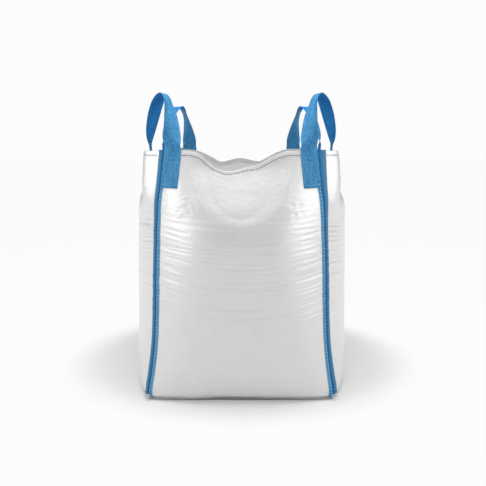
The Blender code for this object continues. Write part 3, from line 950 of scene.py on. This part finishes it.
def tape_material():
    """Blue seam tape with painted light: painted shade on the flank, painted shade beside a pale
    ridge at the seam that is partly a painted highlight, light on the front.
    """
    material, tree, shader = new_material("tape_blue_painted_light", (0.04, 0.18, 0.38), 0.8)
    shader.inputs["Specular IOR Level"].default_value = 0.15
    split = add(tree, "ShaderNodeSeparateXYZ")
    tree.links.new(scaled_uv(tree, (0.5 / TAPE_HALF, 1.0)), split.inputs["Vector"])
    # Painted light: the bands across the tape's width darken its flank half and both sides of the
    # seam, and brighten its ridge.
    ramp_node = add(tree, "ShaderNodeValToRGB")
    stops = ramp_node.color_ramp.elements
    for place, colour in TAPE_COLOUR_AND_PAINTED_LIGHT[1:-1]:
        stops.new(place)
    for stop, (place, colour) in zip(stops, TAPE_COLOUR_AND_PAINTED_LIGHT):
        stop.position = place
        stop.color = (*colour, 1.0)
    tree.links.new(split.outputs["X"], ramp_node.inputs["Fac"])
    picks = bands(tree, 0.0050, "Y")
    clouds = cloudy(tree, 45.0, 3.0, (1.0, 0.4))
    shade = weighed(tree, picks, clouds, 0.35)
    tint = mixed(tree, shade, (0.55, 0.60, 0.66), (1.45, 1.38, 1.30))
    colour = add(tree, "ShaderNodeMix", data_type="RGBA", blend_type="MULTIPLY")
    colour.inputs["Factor"].default_value = 1.0
    tree.links.new(ramp_node.outputs["Color"], colour.inputs[6])
    tree.links.new(tint, colour.inputs[7])
    tree.links.new(colour.outputs[2], shader.inputs["Base Color"])
    bump(tree, shader, picks, 0.4, 0.0006)
    return material


def thread_material(name, low, high):
    """Twisted thread."""
    material, tree, shader = new_material(name, high, 0.6)
    colour = mixed(tree, cloudy(tree, 700.0, 2.0), low, high)
    tree.links.new(colour, shader.inputs["Base Color"])
    bump(tree, shader, cloudy(tree, 1500.0, 1.0), 0.3, 0.0002)
    return material


def seam_material():
    """The base seam's raw woven edge, mottled grey above, with a painted shadow: near black along
    its lower part.
    """
    material, tree, shader = new_material("base_edge_painted_shadow", (0.3, 0.32, 0.34), 0.7)
    upper = add(tree, "ShaderNodeSeparateXYZ")
    tree.links.new(scaled_uv(tree, (1.0, 1.0)), upper.inputs["Vector"])
    lit = mathematics(tree, "GREATER_THAN", upper.outputs["X"], LIP_GREY_FROM)
    edge = mixed(tree, cloudy(tree, 120.0, 4.0), (0.14, 0.16, 0.19), (0.60, 0.61, 0.62))
    # Painted shadow: below LIP_GREY_FROM the lip is near black.
    colour = mixed(tree, lit, (0.018, 0.020, 0.024), edge)
    tree.links.new(colour, shader.inputs["Base Color"])
    bump(tree, shader, bands(tree, 0.0030, "Y"), 0.4, 0.0006)
    return material


# Studio

FLOOR_HALF = 30.0
UNDER_BAG = (0.44, 0.50)  # distances from the middle over which the floor starts to glow; under the bag it has none, a painted shadow
SHADOW_EDGE = (0.74, 1.05)  # distances over which the soft painted shadow gives way to white
SHADOW_STRETCH = (1.0, 1.35)  # the painted shadow is longer across than from front to back
WORLD_LIGHT, WORLD_SEEN = 0.185, 0.975
CAMERA_PLACE, CAMERA_DOWN = (0.010, -2.70, 1.217), 11.4  # metres and degrees
LENS = 37.0
LIGHTS = (
    ("left_softbox", (-2.9, -1.45, 1.7), (1.6, 2.4), 33.5),
    ("right_softbox", (2.9, -1.45, 1.7), (1.6, 2.4), 32),
    ("top_softbox", (0.0, -0.3, 4.2), (2.6, 2.0), 150),
)


def fade(tree, value, span, levels):
    """A smooth change from one level to another while a value crosses a span."""
    node = add(tree, "ShaderNodeMapRange", interpolation_type="SMOOTHSTEP")
    for label, level in zip(("From Min", "From Max", "To Min", "To Max"), (*span, *levels)):
        node.inputs[label].default_value = level
    tree.links.new(value, node.inputs["Value"])
    return node.outputs["Result"]


def make_floor():
    """A pale floor with a painted shadow: it grows as bright as the background away from the bag,
    and glows nowhere under it."""
    ends = (-FLOOR_HALF, FLOOR_HALF)
    points = np.array([[(x, y, 0.0) for x in ends] for y in ends])
    floor = grid_mesh("floor", points, points[:, :, :2])
    material, tree, shader = new_material("floor_pale_painted_shadow", (0.5, 0.5, 0.5), 0.9)
    shader.inputs["Specular IOR Level"].default_value = 0.0
    shader.inputs["Emission Color"].default_value = (1.0, 1.0, 1.0, 1.0)
    reaches = []
    for stretch in (SHADOW_STRETCH, (1.0, 1.0)):
        length = add(tree, "ShaderNodeVectorMath", operation="LENGTH")
        tree.links.new(scaled_uv(tree, stretch), length.inputs[0])
        reaches.append(length.outputs["Value"])
    # Painted shadow: the glow and the colour are lowest near the bag, and there is no glow under
    # it.
    open_floor = fade(tree, reaches[1], UNDER_BAG, (0.0, 1.0))
    glow = fade(tree, reaches[0], SHADOW_EDGE, (0.25, 0.955))
    glow = mathematics(tree, "MULTIPLY", glow, open_floor)
    tree.links.new(glow, shader.inputs["Emission Strength"])
    tree.links.new(fade(tree, reaches[0], SHADOW_EDGE, (0.54, 0.02)), shader.inputs["Base Color"])
    floor.data.materials.append(material)


def make_light(name, place, size, power, target=(0.0, 0.0, 0.6)):
    light = bpy.data.lights.new(name, "AREA")
    light.shape = "RECTANGLE"
    light.size, light.size_y = size
    light.energy = power
    lamp = bpy.data.objects.new(name, light)
    lamp.location = place
    lamp.rotation_euler = (Vector(target) - Vector(place)).to_track_quat("-Z", "Y").to_euler()
    bpy.context.collection.objects.link(lamp)


def make_world():
    """White behind the bag, and a dimmer even light round it."""
    world = bpy.data.worlds.new("studio")
    world.use_nodes = True
    tree = world.node_tree
    background = tree.nodes["Background"]
    seen = add(tree, "ShaderNodeLightPath")
    strength = add(tree, "ShaderNodeMix", data_type="FLOAT")
    strength.inputs[2].default_value = WORLD_LIGHT
    strength.inputs[3].default_value = WORLD_SEEN
    tree.links.new(seen.outputs["Is Camera Ray"], strength.inputs["Factor"])
    tree.links.new(strength.outputs[0], background.inputs["Strength"])
    background.inputs["Color"].default_value = (1.0, 1.0, 1.0, 1.0)
    bpy.context.scene.world = world


def make_camera():
    camera = bpy.data.cameras.new("camera")
    camera.lens = LENS
    camera.sensor_width = 36.0
    eye = bpy.data.objects.new("camera", camera)
    eye.location = CAMERA_PLACE
    eye.rotation_euler = (math.radians(90 - CAMERA_DOWN), 0.0, 0.0)
    bpy.context.collection.objects.link(eye)
    bpy.context.scene.camera = eye


def make_studio():
    make_camera()
    make_world()
    make_floor()
    for light in LIGHTS:
        make_light(*light)
    bpy.context.scene.view_settings.view_transform = "Standard"


def main():
    make_studio()
    woven = woven_material("woven_white", 0.0)
    # A copy of the cloth with a painted glow, for the inside faces of the walls.
    inner = woven_material("woven_white_inside", INSIDE_GLOW)
    webbing = webbing_material("webbing_blue", (0.012, 0.125, 0.31), (0.098, 0.38, 0.66))
    # A darker copy of the webbing, for painted shade under the arches and on the rear loops.
    webbing_painted_shade = webbing_material("webbing_blue_painted_shade", (0.004, 0.12, 0.36), (0.022, 0.28, 0.68))
    tape, seam = tape_material(), seam_material()
    navy = thread_material("thread_navy", (0.004, 0.010, 0.04), (0.012, 0.035, 0.11))
    white = thread_material("thread_white", (0.62, 0.64, 0.66), (0.82, 0.83, 0.84))
    sky = thread_material("thread_sky", (0.20, 0.46, 0.68), (0.40, 0.66, 0.84))
    blue = thread_material("thread_blue", (0.17, 0.44, 0.68), (0.32, 0.60, 0.82))
    make_base(woven)
    for side in range(4):
        make_panel(side, woven, inner)
        make_base_seam(side, seam)
        make_base_stitches(side, navy, white)
        make_seam_tape(side, tape)
        make_tape_stitches(side, sky, navy)
        make_corner_frays(side, white)
        make_hem_stitches(side, navy, white)
    for name in CORNERS:
        loop = make_strap(name, webbing, webbing_painted_shade)
        make_leg_stitches(loop, sky, blue)


main()
